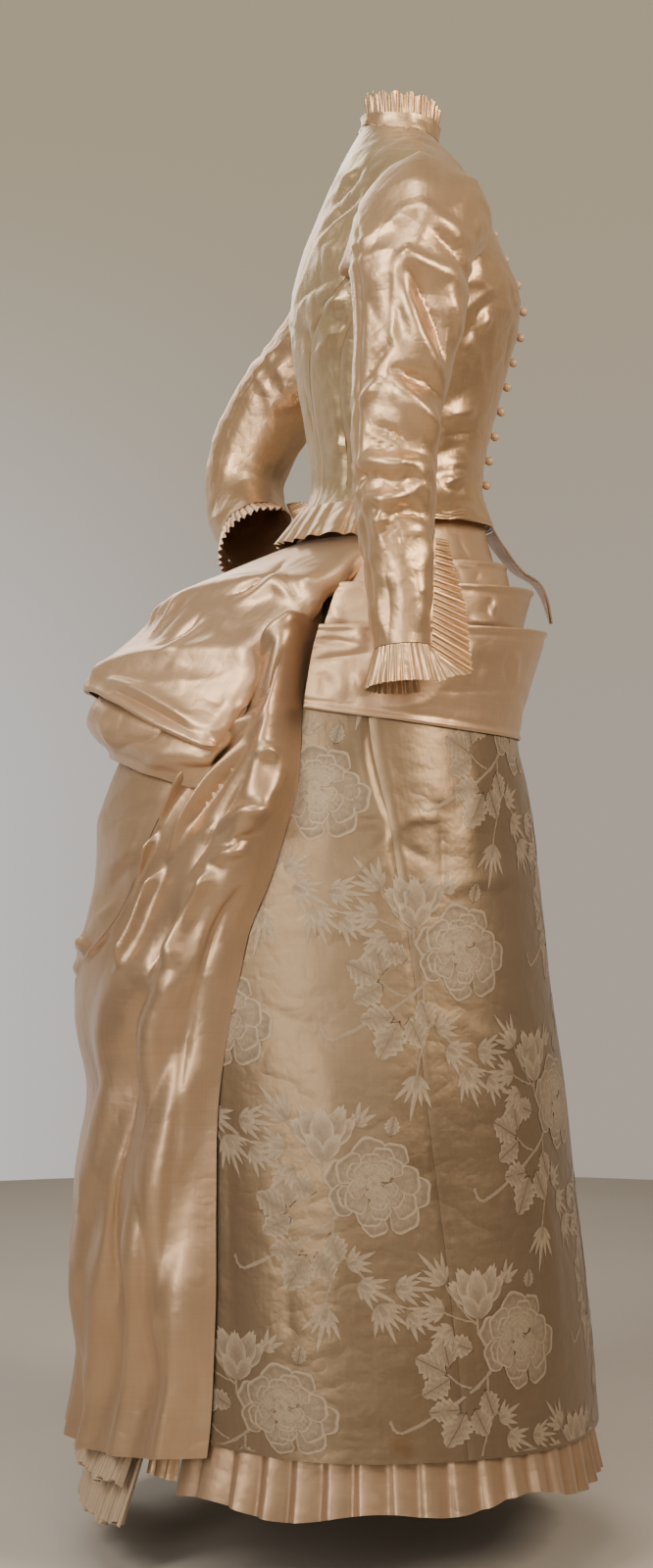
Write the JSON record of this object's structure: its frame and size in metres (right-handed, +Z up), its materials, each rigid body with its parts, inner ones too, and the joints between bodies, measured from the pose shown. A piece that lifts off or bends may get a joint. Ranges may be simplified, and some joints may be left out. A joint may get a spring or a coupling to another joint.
{
  "type": "bustle dress",
  "caption": "Satin and brocade bustle dress, long-sleeved buttoned bodice, swathed hips, draped bustle, pleated ruffles, in its worn hollow form.",
  "frame": {"origin": "middle of the waist, where the wearer's body holds the dress", "axes": "+Z up, -Y to the dress's front, -X to the wearer's right"},
  "size_m": [0.5998, 0.5453, 1.4194],
  "materials": {
    "satin": "glossy silk satin",
    "brocade": "satin ground with raised rose sprays",
    "sheer": "fine pleated muslin, matt"
  },
  "bodies": {
    "root": {"back_strip_left": "satin", "back_strip_right": "satin", "bodice_back_left": "satin", "bodice_back_right": "satin", "bodice_front_left": "satin", "bodice_front_right": "satin", "bodice_side_back_left": "satin", "bodice_side_back_right": "satin", "bodice_side_left": "satin", "bodice_side_right": "satin", "bustle_flap": "satin", "bustle_puff": "satin", "button_01": "satin", "button_02": "satin", "button_03": "satin", "button_04": "satin", "button_05": "satin", "button_06": "satin", "button_07": "satin", "button_08": "satin", "button_09": "satin", "button_10": "satin", "button_11": "satin", "button_12": "satin", "button_13": "satin", "collar_band": "satin", "cuff_ruffle_left": "satin", "cuff_ruffle_right": "satin", "dust_ruffle_lower": "sheer", "dust_ruffle_upper": "sheer", "fall_back": "satin", "fall_left": "satin", "fall_right": "satin", "front_flounce": "satin", "front_point": "satin", "hip_band": "satin", "hip_fold_lower": "satin", "hip_fold_middle": "satin", "hip_fold_upper": "satin", "neck_frill": "satin", "peplum_back": "satin", "skirt_back": "satin", "skirt_front": "brocade", "skirt_side_left": "brocade", "skirt_side_right": "brocade", "sleeve_under_left": "satin", "sleeve_under_right": "satin", "sleeve_upper_left": "satin", "sleeve_upper_right": "satin"}
  },
  "joints": []
}
